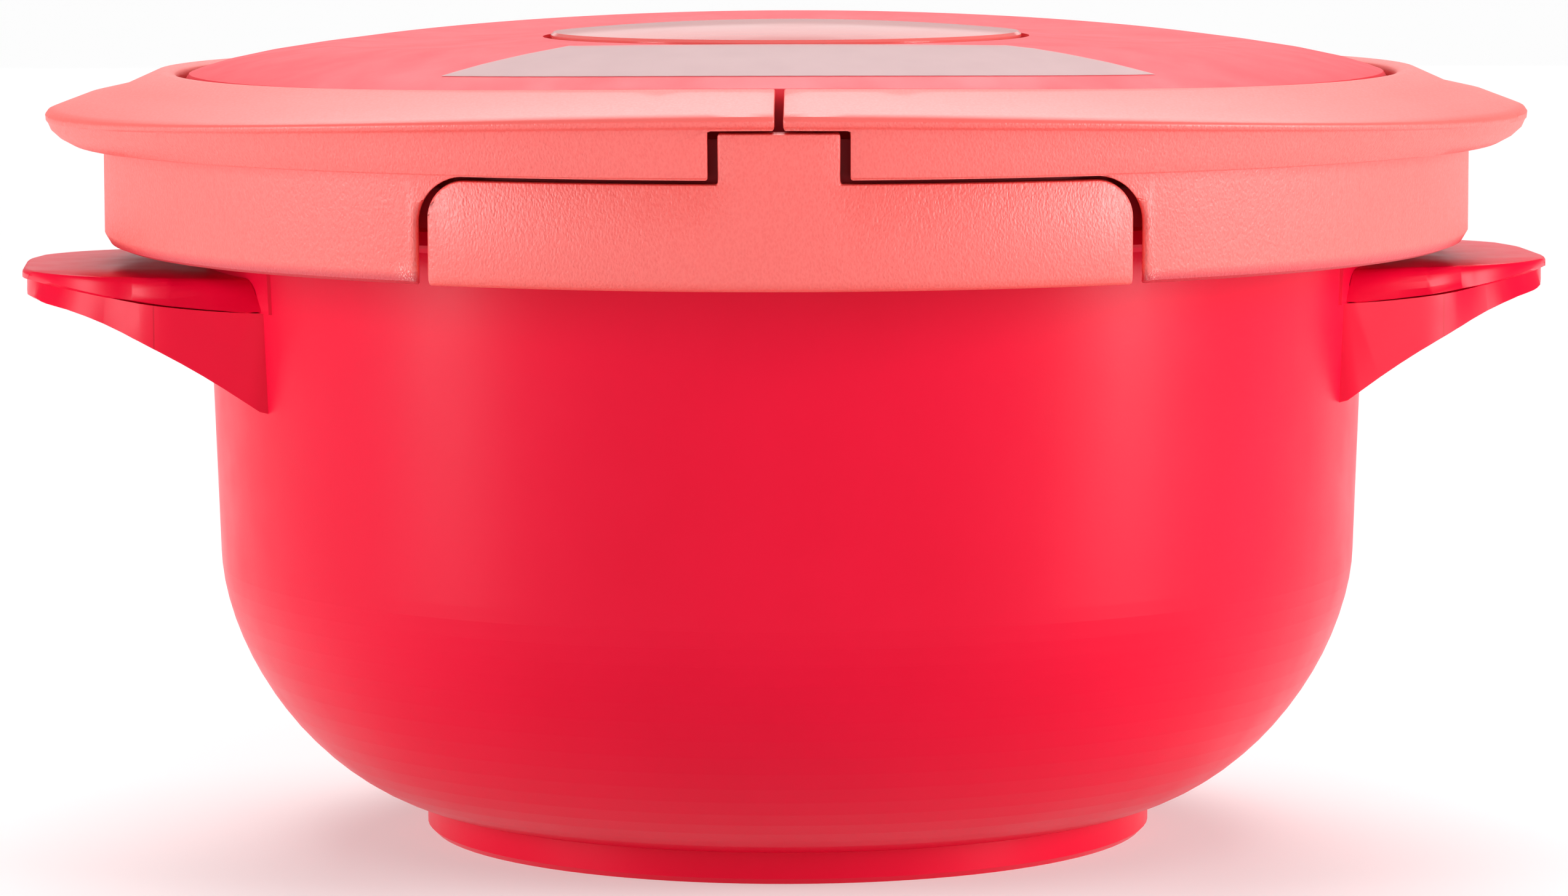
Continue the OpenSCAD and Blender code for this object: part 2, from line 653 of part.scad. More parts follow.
// Ribs on both sides of each rack arm
module arm_guides() {
    rib = 2;
    low = plate_top - 1;
    outer_from = pitch_r - 2;
    inner_from = pitch_r + 8;
    guide_end = arm_edge - 5;
    for (s = [0, 180]) rotate([0, 0, s]) {
        translate([outer_from, rack_back + move_gap, low])
            cube([guide_end - outer_from, rib, arm_top - low]);
        translate([inner_from, pitch_r + tooth_root - move_gap - rib, low])
            cube([guide_end - inner_from, rib, arm_top - low]);
    }
}

module sealing_gasket() {
    g = gasket_in();
    color(silicone) rotate_extrude($fn = 180)
        polygon([[g, pot_h + 0.05], [g + gasket_w, pot_h + 0.05], [g + gasket_w, pot_h + gasket_h - 0.05],
            [g, pot_h + gasket_h - 0.05]]);
}

module lid_screws() {
    color(steel) for (a = lid_screw_angles) rotate([0, 0, a])
        translate([lid_screw_r, 0, pot_h - screw_head_t - seat_gap])
            screw(screw_head_t + base_t + screw_grip);
}

module safety_plug() {
    color(silicone) translate([plug_pos[0], plug_pos[1], 0]) rotate_extrude($fn = 64)
        polygon([[0, pot_h - 1.6], [plug_r + 1.5, pot_h - 1.6], [plug_r + 1.5, pot_h - seat_gap],
            [plug_r - seat_gap, pot_h - seat_gap], [plug_r - seat_gap, plate_top + seat_gap],
            [plug_r + 1, plate_top + seat_gap], [plug_r - 0.5, plate_top + 1.8], [0, plate_top + 1.8]]);
}

// ---- Button and valve ----

module release_button() {
    rise = button_crown;
    dome_r = (pow(button_r - 0.8, 2) + rise * rise) / (2 * rise);
    skirt_z = well_floor + well_floor_t + button_travel + 0.5;
    wall = 2;
    color(coral) difference() {
        rotate_extrude($fn = 180)
            polygon(concat([[0, boss_low], [boss_r, boss_low], [boss_r, button_under],
                [button_r - wall, button_under], [button_r - wall, skirt_z], [button_r - 0.4, skirt_z],
                [button_r, skirt_z + 0.4], [button_r, button_top_z - 0.5]],
                [for (i = [0 : 12]) let (r = (button_r - 0.5) * (1 - i / 12))
                    [r, button_top_z + sqrt(dome_r * dome_r - r * r) - dome_r + rise]]));
        translate([0, 0, boss_low - 1])
            cylinder(r = stem_r + seat_gap, h = stem_top - boss_low + 1, $fn = 64);
    }
}

module valve_stem() {
    color(steel) difference() {
        translate([0, 0, stem_low]) cylinder(r = stem_r, h = stem_top - seat_gap - stem_low, $fn = 64);
        tube(stem_r - 0.8, stem_r + 1, clip_z, clip_z + clip_t + 0.1);
    }
}

module valve_seal() {
    top = pot_h - move_gap;
    color(silicone) rotate_extrude($fn = 64)
        polygon([[stem_r + seat_gap, top], [seal_r - 0.6, top], [seal_r, top - 0.6],
            [seal_r, top - seal_h / 2], [seal_r - 3, top - seal_h], [stem_r + seat_gap, top - seal_h]]);
}

// Open ring snapped into the stem's groove, under the seal
module stem_clip() {
    color(steel) difference() {
        tube(stem_r - 0.75, stem_r + 2, clip_z + 0.05, clip_z + clip_t);
        translate([0, -stem_r * 0.6, clip_z - 1]) cube([far, stem_r * 1.2, clip_t + 2]);
    }
}

// Coil round the button's boss, from the tower's top to the button's underside
module button_spring() {
    steps = 14;
    sides = 8;
    n = spring_turns * steps;
    low = tower_top + spring_wire_r + seat_gap;
    rise = button_under - spring_wire_r - seat_gap - low;
    color(steel) loft([for (i = [0 : n])
        let (a = 360 * i / steps, z = low + rise * i / n)
        [for (j = [0 : sides - 1])
            let (b = 360 * j / sides, r = spring_r + spring_wire_r * cos(b))
            [r * cos(a), r * sin(a), z + spring_wire_r * sin(b)]]]);
}

// Slotted cup pushed over the collar under the lid base
module valve_shield() {
    low = stem_low - button_travel - 2;
    color(inner) difference() {
        rotate_extrude($fn = 96)
            polygon([[0, low - 1.5], [shield_in - 0.5, low - 1.5], [shield_in + 1.5, low],
                [shield_in + 1.5, pot_h - 0.05], [shield_in, pot_h - 0.05], [shield_in, low], [0, low]]);
        for (a = [0 : 22.5 : 337.5]) rotate([0, 0, a]) translate([shield_in - 2, -0.4, low + 1.5])
            cube([6, 0.8, pot_h - low - 6]);
    }
}

// Half angle of a tooth at radius r: an involute flank above the base circle
function tooth_half_angle(r) = let (
    base = pitch_r * cos(pressure_angle),
    q = acos(min(1, base / r)),
    at_pitch = 90 / ring_teeth - backlash / 2 / pitch_r * 180 / PI)
    at_pitch + (tan(pressure_angle) - tan(q)) * 180 / PI - pressure_angle + q;

// Point of a tooth's flank at radius r, on side -1 or 1
function flank_point(r, side) = r * [cos(tooth_half_angle(r)), side * sin(tooth_half_angle(r))];

module sync_ring() {
    tip_r = pitch_r + tooth_tip;
    root_r = pitch_r - tooth_root;
    flank = [for (i = [0 : 6]) root_r + 0.3 + (tip_r - root_r - 0.3) * i / 6];
    color(silicone) difference() {
        union() {
            translate([0, 0, arm_z]) cylinder(r = root_r, h = gear_t, $fn = 120);
            for (k = [0 : ring_teeth - 1]) rotate([0, 0, 90 + k * 360 / ring_teeth])
                translate([0, 0, arm_z]) linear_extrude(gear_t)
                    polygon(concat([[root_r - 1, -1.5]],
                        [for (r = flank) flank_point(r, -1)],
                        [for (i = [6 : -1 : 0]) flank_point(flank[i], 1)],
                        [[root_r - 1, 1.5]]));
        }
        translate([0, 0, arm_z - 1]) cylinder(r = tower_r + run_gap, h = gear_t + 2, $fn = 96);
    }
}

pot_body();
handle_left();
handle_right();
lid_base();
sealing_gasket();
lid_cover();
clamp_cover_left();
clamp_cover_right();
clamp_slide_left();
clamp_slide_right();
clamp_screws_left();
clamp_screws_right();
front_cover();
rear_cover();
sync_ring();
release_button();
valve_stem();
valve_seal();
stem_clip();
button_spring();
valve_shield();
safety_plug();
lid_screws();
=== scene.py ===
import json
import math
import bpy
import bmesh
from mathutils import Euler, Matrix, Vector

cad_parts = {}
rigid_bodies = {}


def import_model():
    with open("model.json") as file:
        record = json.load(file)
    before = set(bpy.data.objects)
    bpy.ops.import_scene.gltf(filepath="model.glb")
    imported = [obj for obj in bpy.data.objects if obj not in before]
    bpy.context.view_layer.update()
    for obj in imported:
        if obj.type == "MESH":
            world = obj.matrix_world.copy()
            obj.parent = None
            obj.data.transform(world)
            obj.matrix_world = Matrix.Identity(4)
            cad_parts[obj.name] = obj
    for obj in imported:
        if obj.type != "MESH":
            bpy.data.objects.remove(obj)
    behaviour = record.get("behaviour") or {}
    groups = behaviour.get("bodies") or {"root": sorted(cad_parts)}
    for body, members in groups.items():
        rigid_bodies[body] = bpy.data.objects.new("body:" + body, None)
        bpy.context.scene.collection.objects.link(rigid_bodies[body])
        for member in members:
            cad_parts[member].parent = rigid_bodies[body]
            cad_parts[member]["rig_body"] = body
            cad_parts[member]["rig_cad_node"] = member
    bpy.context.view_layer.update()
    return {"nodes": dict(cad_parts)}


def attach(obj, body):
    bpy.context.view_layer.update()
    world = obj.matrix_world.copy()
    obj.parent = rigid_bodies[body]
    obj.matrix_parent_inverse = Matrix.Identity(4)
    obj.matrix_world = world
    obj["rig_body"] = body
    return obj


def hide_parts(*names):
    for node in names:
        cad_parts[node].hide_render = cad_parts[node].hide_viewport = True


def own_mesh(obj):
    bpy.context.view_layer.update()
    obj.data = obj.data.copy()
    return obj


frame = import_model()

NODES = frame["nodes"]

# Sizes of the solids, in metres
POT_TURN = math.radians(5.3)
SKIRT_R = 0.1185
SKIRT_LOW = 0.1032
CREASE_Z = 0.1288
CREASE_DROP = 0.0042
HANDLE_REACH = 0.1325
HANDLE_TIP_W = 0.0345
HANDLE_CORNER_R = 0.019
RIM_UNDER = 0.0953  # underside of a handle's rim
RIM_MIDDLE = 0.0972  # where the rim stands out most
RIM_ROUND = 0.0022
WEB_INSET = 0.0008  # how far the web's sides lie inside the rim

# Roundings added here
SKIRT_ROUND = 0.0023
FACE_MARGIN = 0.0008  # edges further inside the skirt's face than this stay as they are
LOW_EDGE_MARGIN = 0.0006  # edges within this of the skirt's low edge are rounded in full
PLATE_REACH_X = 0.0625  # edges within this width and height lie beside a plate
PLATE_REACH_Z = 0.1172
PLATE_SHARE = 0.6  # their share of the rounding
PLATE_FADE_X = 0.050  # it starts at this width
PLATE_FADE_W = 0.0045  # and is full this much further out
CLAMP_EDGE_ROUND = 0.0003
PLATE_EDGE_ROUND = 0.0004

# The ring's top, with its finer skin and its painted light: faces that rise more than the slope, this far
# above the crease's lowest point
TOP_SLOPE = 0.3
TOP_MARGIN = 0.001

# Handles: the web's ends in the wall, and the broader corners of the tips
ROOT_DEPTH = 0.0015
BACK_FACING = -0.5  # faces that look back at the pot more than this are its ends
SIDE_SLOPE = 0.5  # faces whose normal rises less than this are its sides
RIM_SLOPE = 0.8  # the same under the rim
TIP_R = 0.0265
TIP_CORE_R = 0.012  # nothing moves within this of a corner's centre
TIP_CUTS = 7
TIP_CUT_STEP = 0.00115
TIP_CUT_START = 0.3
SEAM_X = 0.1095  # the mould's parting line
SEAM_HALF_W = 0.00011

# The film on the lid, and its straight edges: a point on each and the way out over it
FILM_R = 0.0982
FILM_POINTS = 240
FILM_RINGS = 16
FILM_SHRINK = 0.979
FILM_START_Z = 0.15
FILM_GAP = 0.00005
FILM_THICKNESS = 0.00008
FILM_EDGES = (
    ((0, -0.0715, FILM_START_Z), (0, 1, 0)),
    ((0.0600, -0.0775, FILM_START_Z), (0.30, 0.954, 0)),
    ((-0.0545, -0.0815, FILM_START_Z), (-0.42, 0.908, 0)),
)

# Meshes: points and edges that count as none, and angles in degrees
SAME_POINT = 0.00001
SLIVER = 0.000003
FLAT_ANGLE = 0.4  # facets nearer to flat than this are joined
WIDE_ROUND_ANGLE = 38  # edges sharper than these are rounded
FINE_ROUND_ANGLE = 45


# ---- Camera, floor and light ----

# Where the camera stands and how it is turned, in degrees, and the point that the lights look at
CAMERA_PLACE = (0.00992, -1.03295, 0.1786)
CAMERA_DOWN = 6.21
CAMERA_LEFT = 0.55
CAMERA_ROLL = -0.13
LIT_POINT = Vector((0, 0, 0.08))


def studio_camera():
    data = bpy.data.cameras.new("camera")
    data.lens = 135.76
    data.sensor_width = 36
    data.shift_x = -0.0019
    data.clip_end = 60
    camera = bpy.data.objects.new("camera", data)
    bpy.context.scene.collection.objects.link(camera)
    camera.location = CAMERA_PLACE
    aim = Euler((math.radians(90 - CAMERA_DOWN), 0, math.radians(CAMERA_LEFT))).to_matrix()
    camera.rotation_euler = (aim @ Matrix.Rotation(math.radians(CAMERA_ROLL), 3, "Z")).to_euler()
    bpy.context.scene.camera = camera


def add_light(name, kind, azimuth, elevation, power):
    """A light, and the way to it from the pot; azimuth 0 is in front, 90 on the right."""
    data = bpy.data.lights.new(name, kind)
    data.energy = power
    light = bpy.data.objects.new(name, data)
    bpy.context.scene.collection.objects.link(light)
    a = math.radians(azimuth)
    e = math.radians(elevation)
    away = Vector((math.sin(a) * math.cos(e), -math.cos(a) * math.cos(e), math.sin(e)))
    light.rotation_euler = away.to_track_quat("Z", "Y").to_euler()
    return light, away


def soft_light(name, azimuth, elevation, distance, width, height, power):
    """A soft box that looks at the middle of the pot."""
    light, away = add_light(name, "AREA", azimuth, elevation, power)
    light.data.shape = "RECTANGLE"
    light.data.size = width
    light.data.size_y = height
    light.location = LIT_POINT + away * distance


def soft_sun(name, azimuth, elevation, breadth, power):
    """A far, broad light, such as a large overhead screen."""
    light, away = add_light(name, "SUN", azimuth, elevation, power)
    light.data.angle = math.radians(breadth)


def studio():
    scene = bpy.context.scene
    scene.view_settings.view_transform = "Standard"
    world = bpy.data.worlds.new("grey_room")
    world.use_nodes = True
    world.node_tree.nodes["Background"].inputs["Color"].default_value = (1, 1, 1, 1)
    world.node_tree.nodes["Background"].inputs["Strength"].default_value = 0.2
    scene.world = world
    soft_light("left_softbox", azimuth=-66, elevation=8, distance=0.95, width=0.24, height=0.6, power=6.6)
    soft_light("right_softbox", azimuth=66, elevation=8, distance=0.95, width=0.24, height=0.6, power=9.2)
    soft_sun("overhead_screen", azimuth=180, elevation=52, breadth=50, power=2.9)
    soft_sun("front_screen", azimuth=0, elevation=62, breadth=40, power=0.45)
    soft_light("rear_panel", azimuth=180, elevation=6.8, distance=3.0, width=2.8, height=0.70, power=1.9)
    soft_light("rear_window", azimuth=180, elevation=10, distance=2.9, width=1.5, height=0.34, power=0.6)
    bpy.ops.mesh.primitive_plane_add(size=30, location=(0, 0, 0))
    floor = bpy.context.object
    floor.name = "floor"
    floor.data.materials.append(plain_floor())


# ---- Parts of a finish ----

def finish(name, roughness, specular=0.3):
    """A material, its nodes, its shader and the piece's own coordinates."""
    material = bpy.data.materials.new(name)
    material.use_nodes = True
    tree = material.node_tree
    shader = tree.nodes["Principled BSDF"]
    shader.inputs["Roughness"].default_value = roughness
    shader.inputs["Specular IOR Level"].default_value = specular
    place = tree.nodes.new("ShaderNodeTexCoord")
    return material, tree, shader, place.outputs["Object"]


def noise(tree, place, scale, detail=2.0, rough=0.5, distortion=0.0):
    node = tree.nodes.new("ShaderNodeTexNoise")
    node.inputs["Scale"].default_value = scale
    node.inputs["Detail"].default_value = detail
    node.inputs["Roughness"].default_value = rough
    node.inputs["Distortion"].default_value = distortion
    tree.links.new(place, node.inputs["Vector"])
    return node.outputs["Fac"]


def cells(tree, place, scale):
    node = tree.nodes.new("ShaderNodeTexVoronoi")
    node.inputs["Scale"].default_value = scale
    tree.links.new(place, node.inputs["Vector"])
    return node.outputs["Distance"]


def spread(tree, value, low, high, to_low, to_high):
    """Carries low..high over to to_low..to_high, and stops at both ends."""
    node = tree.nodes.new("ShaderNodeMapRange")
    node.inputs["From Min"].default_value = low
    node.inputs["From Max"].default_value = high
    node.inputs["To Min"].default_value = to_low
    node.inputs["To Max"].default_value = to_high
    tree.links.new(value, node.inputs["Value"])
    return node.outputs["Result"]


def blend_colours(tree, share, first, second):
    """Goes from the first colour to the second; each is a tuple or a socket."""
    node = tree.nodes.new("ShaderNodeMix")
    node.data_type = "RGBA"
    tree.links.new(share, node.inputs["Factor"])
    for socket, colour in ((node.inputs[6], first), (node.inputs[7], second)):
        if isinstance(colour, tuple):
            socket.default_value = colour + (1,)
        else:
            tree.links.new(colour, socket)
    return node.outputs[2]


def joined(tree, operation, first, second):
    """Two values put together by a plain operation, such as MULTIPLY or MAXIMUM."""
    node = tree.nodes.new("ShaderNodeMath")
    node.operation = operation
    tree.links.new(first, node.inputs[0])
    tree.links.new(second, node.inputs[1])
    return node.outputs["Value"]


def sum_of(tree, first, second, share):
    """The first value and a share of the second."""
    node = tree.nodes.new("ShaderNodeMath")
    node.operation = "MULTIPLY_ADD"
    tree.links.new(second, node.inputs[0])
    node.inputs[1].default_value = share
    tree.links.new(first, node.inputs[2])
    return node.outputs["Value"]


def remapped(tree, place, rotation=(0, 0, 0), scale=(1, 1, 1)):
    node = tree.nodes.new("ShaderNodeMapping")
    node.inputs["Rotation"].default_value = rotation
    node.inputs["Scale"].default_value = scale
    tree.links.new(place, node.inputs["Vector"])
    return node.outputs["Vector"]


def axes_of(tree, place):
    node = tree.nodes.new("ShaderNodeSeparateXYZ")
    tree.links.new(place, node.inputs["Vector"])
    return node.outputs


def near(tree, place, spot, inner, outer):
    """1 within inner of a spot, falling to 0 at outer."""
    gap = tree.nodes.new("ShaderNodeVectorMath")
    gap.operation = "DISTANCE"
    gap.inputs[1].default_value = spot
    tree.links.new(place, gap.inputs[0])
    return spread(tree, gap.outputs["Value"], inner, outer, 1.0, 0.0)


def relief(tree, shader, height, strength, depth):
    bump = tree.nodes.new("ShaderNodeBump")
    bump.inputs["Strength"].default_value = strength
    bump.inputs["Distance"].default_value = depth
    tree.links.new(height, bump.inputs["Height"])
    tree.links.new(bump.outputs["Normal"], shader.inputs["Normal"])


def uneven_gloss(tree, shader, value, low, high):
    """Roughness from low to high, by a cloud or a grain."""
    tree.links.new(spread(tree, value, 0.3, 0.7, low, high), shader.inputs["Roughness"])


def moulded(name, dark, light, rough_low, rough_high, grain_scale, grain_depth, specular=0.3):
    """Moulded plastic: a faint cloud of colour, a little uneven gloss and a fine skin."""
    material, tree, shader, place = finish(name, rough_low, specular)
    cloud = noise(tree, place, scale=38, detail=3)
    tree.links.new(blend_colours(tree, cloud, dark, light), shader.inputs["Base Color"])
    uneven_gloss(tree, shader, noise(tree, place, scale=90), rough_low, rough_high)
    skin = noise(tree, place, scale=grain_scale, rough=0.6)
    relief(tree, shader, skin, strength=0.3, depth=grain_depth)
    return material


# ---- Finishes ----

def plain_floor():
    """A white floor that glows a little, so that it stays white round the pot."""
    material, _, shader, _ = finish("pale_floor", roughness=0.9, specular=0.1)
    shader.inputs["Base Color"].default_value = (0.60, 0.60, 0.60, 1)
    shader.inputs["Emission Color"].default_value = (1, 1, 1, 1)
    shader.inputs["Emission Strength"].default_value = 0.33
    return material


def pot_red():
    return moulded("pot_red_satin", dark=(0.67, 0.0, 0.023), light=(0.73, 0.001, 0.031),
                   rough_low=0.30, rough_high=0.36, grain_scale=2600, grain_depth=0.00003, specular=0.15)


def handle_red():
    """Satin red with the thin parting line of the mould across each web."""
    material, tree, shader, place = finish("handle_red_satin", roughness=0.3, specular=0.14)
    axes = axes_of(tree, remapped(tree, place, rotation=(0, 0, -POT_TURN)))
    out = tree.nodes.new("ShaderNodeMath")
    out.operation = "ABSOLUTE"
    tree.links.new(axes["X"], out.inputs[0])
    line = tree.nodes.new("ShaderNodeMath")
    line.operation = "COMPARE"
    line.inputs[1].default_value = SEAM_X
    line.inputs[2].default_value = SEAM_HALF_W
    tree.links.new(out.outputs["Value"], line.inputs[0])
    below = spread(tree, axes["Z"], RIM_UNDER - 0.0003, RIM_UNDER + 0.0009, 1.0, 0.0)
    seam = joined(tree, "MULTIPLY", line.outputs["Value"], below)
    cloud = noise(tree, place, scale=38, detail=3)
    colour = blend_colours(tree, cloud, (0.65, 0.0, 0.022), (0.71, 0.001, 0.030))
    lined = blend_colours(tree, seam, colour, (0.50, 0.0, 0.016))
    tree.links.new(lined, shader.inputs["Base Color"])
    uneven_gloss(tree, shader, noise(tree, place, scale=160), 0.28, 0.34)
    skin = noise(tree, place, scale=2400, rough=0.6)
    relief(tree, shader, sum_of(tree, skin, seam, -3.0), strength=0.2, depth=0.00001)
    return material


def lid_red():
    return moulded("lid_red_matte", dark=(0.78, 0.024, 0.042), light=(0.86, 0.042, 0.062),
                   rough_low=0.44, rough_high=0.54, grain_scale=1900, grain_depth=0.00006, specular=0.2)


# Corners that are rubbed pale: the place, and the distances from it where the wear fades and ends
RUBBED = [
    ((0.0020, -0.1195, 0.1296), 0.0004, 0.0020),
    ((0.0050, -0.1195, 0.1290), 0.0002, 0.0016),
    ((-0.0019, -0.1195, 0.1298), 0.0002, 0.0010),
    ((0.0110, -0.1215, 0.1200), 0.0002, 0.0014),
    ((-0.0594, -0.1028, 0.1050), 0.0004, 0.0026),
    ((0.0592, -0.1028, 0.1042), 0.0002, 0.0018),
]


def rubbed_share(tree, place):
    """Small pale upright strokes round the rubbed corners."""
    share = None
    for spot, inner, outer in RUBBED:
        here = near(tree, place, spot, inner, outer)
        share = here if share is None else joined(tree, "MAXIMUM", share, here)
    drawn = remapped(tree, place, scale=(1, 1, 0.3))
    strokes = spread(tree, noise(tree, drawn, scale=5200, rough=0.6), 0.54, 0.64, 0.0, 0.9)
    return joined(tree, "MULTIPLY", share, strokes)


def coral_leather(name, painted_low_shade=False):
    """Coral plastic with a slanted leather grain, rubbed pale at a few corners.

    If asked, it paints shade on the skirt's low edge: the lowest 1.0 mm are a deep red painted shade,
    which fades out by 2.6 mm.
    """
    material, tree, shader, place = finish(name, roughness=0.46, specular=1.0)
    cloud = noise(tree, place, scale=45, detail=3)
    colour = blend_colours(tree, cloud, (0.78, 0.072, 0.060), (0.84, 0.092, 0.078))
    slant = remapped(tree, place, rotation=(0, math.radians(38), 0), scale=(1.25, 1.0, 0.72))
    folds = noise(tree, slant, scale=1900, detail=3, distortion=0.9)
    pebbles = cells(tree, slant, scale=2100)
    height = sum_of(tree, folds, pebbles, 0.6)
    hollow = spread(tree, height, 0.55, 0.95, 0.0, 0.5)
    shaded = blend_colours(tree, hollow, colour, (0.87, 0.13, 0.112))
    if painted_low_shade:
        # Painted shade: the skirt's low edge darkens to deep red towards the bottom, in place of the
        # shade under it.
        up = axes_of(tree, place)["Z"]
        under = spread(tree, up, SKIRT_LOW + 0.0010, SKIRT_LOW + 0.0026, 0.9, 0.0)
        shaded = blend_colours(tree, under, shaded, (0.54, 0.009, 0.026))
    worn = blend_colours(tree, rubbed_share(tree, place), shaded, (0.92, 0.58, 0.55))
    tree.links.new(worn, shader.inputs["Base Color"])
    relief(tree, shader, height, strength=0.75, depth=0.00013)
    uneven_gloss(tree, shader, folds, 0.40, 0.54)
    return material


def coral_top_painted_light():
    """The same coral with the fine skin of the ring's top, in a lighter colour that is painted light."""
    material, tree, shader, place = finish("coral_satin_top_painted_light", roughness=0.42)
    cloud = noise(tree, place, scale=45, detail=3)
    # Painted light: this colour and its rubbed pale are lighter than on the sides, for the light that
    # falls on the top.
    colour = blend_colours(tree, cloud, (0.84, 0.118, 0.104), (0.89, 0.146, 0.13))
    worn = blend_colours(tree, rubbed_share(tree, place), colour, (0.94, 0.66, 0.63))
    tree.links.new(worn, shader.inputs["Base Color"])
    skin = noise(tree, place, scale=2200, rough=0.6)
    relief(tree, shader, skin, strength=0.25, depth=0.00005)
    uneven_gloss(tree, shader, skin, 0.36, 0.46)
    return material


def coral_gloss():
    return moulded("coral_polished", dark=(0.84, 0.15, 0.14), light=(0.90, 0.18, 0.16),
                   rough_low=0.08, rough_high=0.12, grain_scale=1200, grain_depth=0.000003, specular=0.7)


def inner_red():
    return moulded("inner_red_plain", dark=(0.40, 0.008, 0.018), light=(0.48, 0.012, 0.024),
                   rough_low=0.40, rough_high=0.48, grain_scale=1800, grain_depth=0.00003)


def white_plastic():
    return moulded("white_plastic", dark=(0.78, 0.78, 0.75), light=(0.84, 0.84, 0.82),
                   rough_low=0.34, rough_high=0.42, grain_scale=1800, grain_depth=0.00002)


def silicone():
    return moulded("silicone_rubber", dark=(0.74, 0.73, 0.70), light=(0.80, 0.79, 0.76),
                   rough_low=0.52, rough_high=0.62, grain_scale=1500, grain_depth=0.00003)


def steel():
    material, tree, shader, place = finish("turned_steel", roughness=0.28)
    shader.inputs["Metallic"].default_value = 1.0
    cloud = noise(tree, place, scale=300, detail=3)
    colour = blend_colours(tree, cloud, (0.56, 0.56, 0.57), (0.66, 0.66, 0.67))
    tree.links.new(colour, shader.inputs["Base Color"])
    uneven_gloss(tree, shader, noise(tree, place, scale=900, detail=3), 0.22, 0.36)
    return material


def clear_film():
    material, tree, shader, place = finish("clear_film", roughness=0.5, specular=0.12)
    cloud = noise(tree, place, scale=120)
    colour = blend_colours(tree, cloud, (0.66, 0.47, 0.475), (0.74, 0.54, 0.545))
    tree.links.new(colour, shader.inputs["Base Color"])
    shader.inputs["Alpha"].default_value = 0.6
    return material


# ---- Copies that stand for solids ----

def select_only(piece):
    bpy.ops.object.select_all(action="DESELECT")
    piece.select_set(True)
    bpy.context.view_layer.objects.active = piece


def merged_copy(node, name, material):
    """A copy of a faceted solid as one merged mesh, selected for what comes next."""
    select_only(NODES[node])
    bpy.ops.object.duplicate()
    piece = bpy.context.object
    piece.name = name
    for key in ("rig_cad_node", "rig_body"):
        if key in piece:
            del piece[key]
    piece.parent = None
    piece.data.name = name
    piece.data.materials.clear()
    piece.data.materials.append(material)
    bpy.ops.object.mode_set(mode="EDIT")
    bpy.ops.mesh.select_all(action="SELECT")
    bpy.ops.mesh.customdata_custom_splitnormals_clear()
    bpy.ops.mesh.remove_doubles(threshold=SAME_POINT)
    bpy.ops.mesh.dissolve_limited(angle_limit=math.radians(FLAT_ANGLE))
    bpy.ops.object.mode_set(mode="OBJECT")
    return piece


def drop_slivers(piece):
    """Removes the edges of no length and the doubled faces that rounding leaves."""
    shape = bmesh.new()
    shape.from_mesh(piece.data)
    bmesh.ops.triangulate(shape, faces=shape.faces)
    bmesh.ops.dissolve_degenerate(shape, dist=SLIVER, edges=shape.edges)
    alike = {}
    for face in shape.faces:
        alike.setdefault(frozenset(face.verts), []).append(face)
    doubled = [face for faces in alike.values() if len(faces) > 1 for face in faces]
    bmesh.ops.delete(shape, geom=doubled, context="FACES")
    shape.to_mesh(piece.data)
    shape.free()


def stand_for(piece, node, body, smooth_angle):
    """Cleans a selected copy, shades it smooth and lets it stand for its solid."""
    drop_slivers(piece)
    bpy.ops.object.shade_smooth_by_angle(angle=math.radians(smooth_angle))
    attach(piece, body)
    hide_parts(node)


def round_edges(piece, limit, width, segments):
    rounding = piece.modifiers.new("rounded_edges", "BEVEL")
    rounding.limit_method = limit
    rounding.angle_limit = math.radians(FINE_ROUND_ANGLE)
    rounding.width = width
    rounding.segments = segments
    rounding.use_clamp_overlap = False
    bpy.ops.object.modifier_apply(modifier=rounding.name)


# ---- Clamps ----

def skirt_share(spot):
    """The skirt's lower edge is rounded most, then its edges beside the front and rear plates."""
    if math.hypot(spot.x, spot.y) < SKIRT_R - FACE_MARGIN:
        return 0.0
    if spot.z < SKIRT_LOW + LOW_EDGE_MARGIN:
        return 1.0
    if spot.z < PLATE_REACH_Z and abs(spot.x) < PLATE_REACH_X:
        return PLATE_SHARE * min(1.0, max(0.0, (abs(spot.x) - PLATE_FADE_X) / PLATE_FADE_W))
    return 0.0


def round_skirt(piece):
    """Gives each hard edge of the skirt its share of the broad rounding."""
    shape = bmesh.new()
    shape.from_mesh(piece.data)
    share = shape.edges.layers.float.new("bevel_weight_edge")
    for edge in shape.edges:
        if len(edge.link_faces) == 2 and edge.calc_face_angle(0) > math.radians(WIDE_ROUND_ANGLE):
            edge[share] = skirt_share((edge.verts[0].co + edge.verts[1].co) / 2)
    shape.to_mesh(piece.data)
    shape.free()
    round_edges(piece, "WEIGHT", SKIRT_ROUND, segments=5)


def smooth_painted_light_top(piece, material):
    """The ring's upper face has a finer skin than its sides, and a lighter colour that is painted light.
    """
    piece.data.materials.append(material)
    for face in piece.data.polygons:
        if face.normal.z > TOP_SLOPE and face.center.z > CREASE_Z - CREASE_DROP + TOP_MARGIN:
            face.material_index = 1


# ---- Handles ----

def rim_inset(height):
    """How far the rim's rounded underside lies inside its outline, at a height."""
    drop = max(0.0, RIM_MIDDLE - height)
    inset = RIM_ROUND - math.sqrt(max(0.0, RIM_ROUND * RIM_ROUND - drop * drop))
    return min(WEB_INSET, inset)


